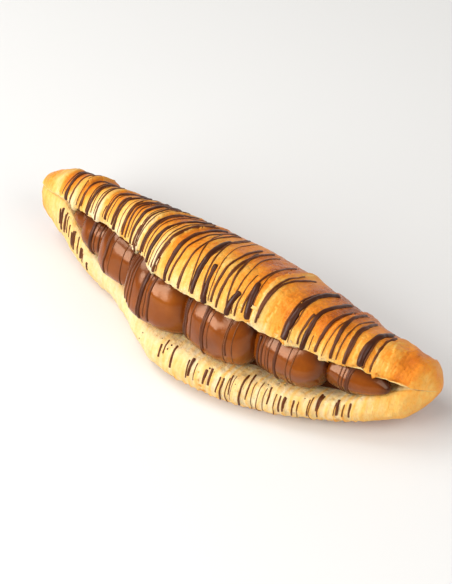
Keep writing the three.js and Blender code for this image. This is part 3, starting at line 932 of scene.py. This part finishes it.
# Each bunch on the lip: the CAD strands that it runs between, how many threads it has, how wide they
# are and how far they run on down the front, in mm.
LIP_BUNCHES = [
    (1, 3, 12, 0.8, 3),
    (4, 4, 2, 0.5, 1),
    (5, 6, 4, 0.6, 3),
    (7, 10, 12, 0.45, 8),
    (10, 12, 8, 0.5, 4),
]
BEYOND_STRANDS = 4 * MM
lip_threads = []
for first, last, count, width, creep in LIP_BUNCHES:
    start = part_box(f"lip_strand_{first:02d}")[0].x - BEYOND_STRANDS
    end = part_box(f"lip_strand_{last:02d}")[1].x + BEYOND_STRANDS
    for i in range(count):
        x = start + (end - start) * (i + chance.uniform(0.1, 0.9)) / count
        route = wavy((x, 8 * MM), (x + chance.uniform(-0.6, 1.2) * MM, -27 * MM), x / MM, 0.5 * MM)
        for run in fall(route, "lip"):
            begin = round(chance.uniform(0, 0.4) * len(run))
            run = trickle(run[begin:], creep * chance.uniform(0.1, 1.0) * MM, pastry_tops)
            if len(run) >= SHORTEST_RUN:
                lip_threads.append((run, width * chance.uniform(0.6, 1.7) * MM, x / MM, pastry_tops))
drizzle("lip_threads", [], lip_threads)

# ---- Spatter ------------------------------------------------------------------------------------
# Stray drops of the same chocolate, which flew off as it was drizzled and set where they fell. They
# lie mostly on the lower lip.

bm = bmesh.new()
stout = bm.verts.layers.float.new("stoutness")
for _ in range(46):
    x = chance.uniform(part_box("cream_dollop_01")[0].x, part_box("cream_dollop_07")[1].x)
    hit = drop(x, chance.uniform(-27, -12) * MM, pastry_tops)
    if hit is None or not 3 * MM < hit[0].z < 20 * MM:
        continue
    size = chance.choice([0.2, 0.22, 0.26, 0.3, 0.36]) * MM
    made = bmesh.ops.create_uvsphere(bm, u_segments=8, v_segments=6, radius=size)
    lie = hit[1].to_track_quat("Z", "Y").to_matrix()
    for v in made["verts"]:
        v.co = hit[0] + lie @ Vector((v.co.x, v.co.y, 0.55 * v.co.z))
        v[stout] = 0.6
spatter = built(bm, "chocolate_spatter", chocolate_material)
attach(spatter, "root")

# ---- Loose flakes -------------------------------------------------------------------------------
# Thin shards of the outermost leaves that lifted as the pastry baked and was cut: most along the
# lid's torn edge and the ends of the wraps, a few on the frilled lip.

flakes = bmesh.new()
flake_browned = flakes.verts.layers.float.new("browned")
flake_crumb = flakes.verts.layers.float.new("crumb")
lifted = []
for _ in range(44):
    lifted.append((chance.uniform(-62, 70), chance.uniform(16.5, 17.5)))
for edge, _ in LEFT_WRAPS[2:] + RIGHT_WRAPS[:-2]:
    for _ in range(2):
        place = chance.uniform(11.5, 16.5)
        lean = float(wrap_lean(np.array(edge))) * ((place - LID_BACK) / (LID_EDGE - LID_BACK) - 0.5)
        lifted.append((edge + lean + chance.uniform(-0.3, 0.9), place))
for _ in range(26):
    lifted.append((chance.uniform(8, 62), chance.uniform(1.2, 3.2)))
for x, place in lifted:
    near = np.argmin((crust_x - x) ** 2 + (9 * (crust_place - place)) ** 2)
    outward = Vector(crust_out[near])
    along = (Vector((1, 0, 0)) - outward * outward.x).normalized()
    upward = outward.cross(along)
    length = chance.uniform(0.5, 1.3)
    breadth = chance.uniform(0.3, 0.7)
    lean = math.radians(chance.uniform(4, 24)) * chance.choice([-1, 1])
    spin = math.radians(chance.uniform(-35, 35))
    made = bmesh.ops.create_grid(flakes, x_segments=5, y_segments=3, size=1)["verts"]
    faces = list({f for v in made for f in v.link_faces})
    shade = browned[near] + chance.uniform(-0.1, 0.2)
    for v in made:
        ragged = 1 + 0.35 * noise.noise((v.co.x * 2 + x, v.co.y * 2, place))
        a, b = v.co.x * length * ragged, v.co.y * breadth * ragged
        a, b = a * math.cos(spin) - b * math.sin(spin), a * math.sin(spin) + b * math.cos(spin)
        lift = b * math.sin(lean) + 0.10 * a * a + 0.1
        v.co = (Vector(crust[near]) + along * a + upward * b * math.cos(lean) + outward * lift) * MM
        v[flake_browned] = shade + 0.15 * b
        v[flake_crumb] = 0.0
    bmesh.ops.solidify(flakes, geom=faces, thickness=0.12 * MM)
bmesh.ops.recalc_face_normals(flakes, faces=flakes.faces)
crust_flakes = built(flakes, "crust_flakes", crust_material)
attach(crust_flakes, "root")

# ---- Floor and light ----------------------------------------------------------------------------
# A plain pale floor, a soft light overhead on the left, a larger and stronger one at the front left
# whose reflection lies on the cream, and one at the front right that lightens the shadows.

bm = bmesh.new()
bmesh.ops.create_grid(bm, x_segments=1, y_segments=1, size=2)
floor_mesh = bpy.data.meshes.new("floor")
bm.to_mesh(floor_mesh)
bm.free()
floor = bpy.data.objects.new("floor", floor_mesh)
floor_material = bpy.data.materials.new("floor")
floor_material.use_nodes = True
floor_skin = floor_material.node_tree.nodes["Principled BSDF"]
floor_skin.inputs["Base Color"].default_value = (0.68, 0.67, 0.65, 1)
floor_skin.inputs["Roughness"].default_value = 0.7
floor_mesh.materials.append(floor_material)
scene.collection.objects.link(floor)


def soft_light(name, place, size, power):
    """A square light that faces the croissant."""
    light = bpy.data.objects.new(name, bpy.data.lights.new(name, "AREA"))
    light.data.size = size
    light.data.energy = power
    light.location = place
    light.rotation_euler = (light.location - middle).to_track_quat("Z", "Y").to_euler()
    scene.collection.objects.link(light)


ahead = Vector((-math.sin(turn), math.cos(turn), 0))
soft_light("key", middle - 0.34 * across_frame + 0.20 * ahead + Vector((0, 0, 0.58)), 0.40, 2.9)
soft_light("window", middle - 0.60 * across_frame - 0.30 * ahead + Vector((0, 0, 0.42)), 0.53, 6.8)
soft_light("fill", middle + 0.40 * across_frame - 0.40 * ahead + Vector((0, 0, 0.44)), 0.50, 2.3)

world = bpy.data.worlds.new("studio")
world.use_nodes = True
world.node_tree.nodes["Background"].inputs["Color"].default_value = (1, 1, 1, 1)
world.node_tree.nodes["Background"].inputs["Strength"].default_value = 0.30
scene.world = world
scene.view_settings.view_transform = "Standard"
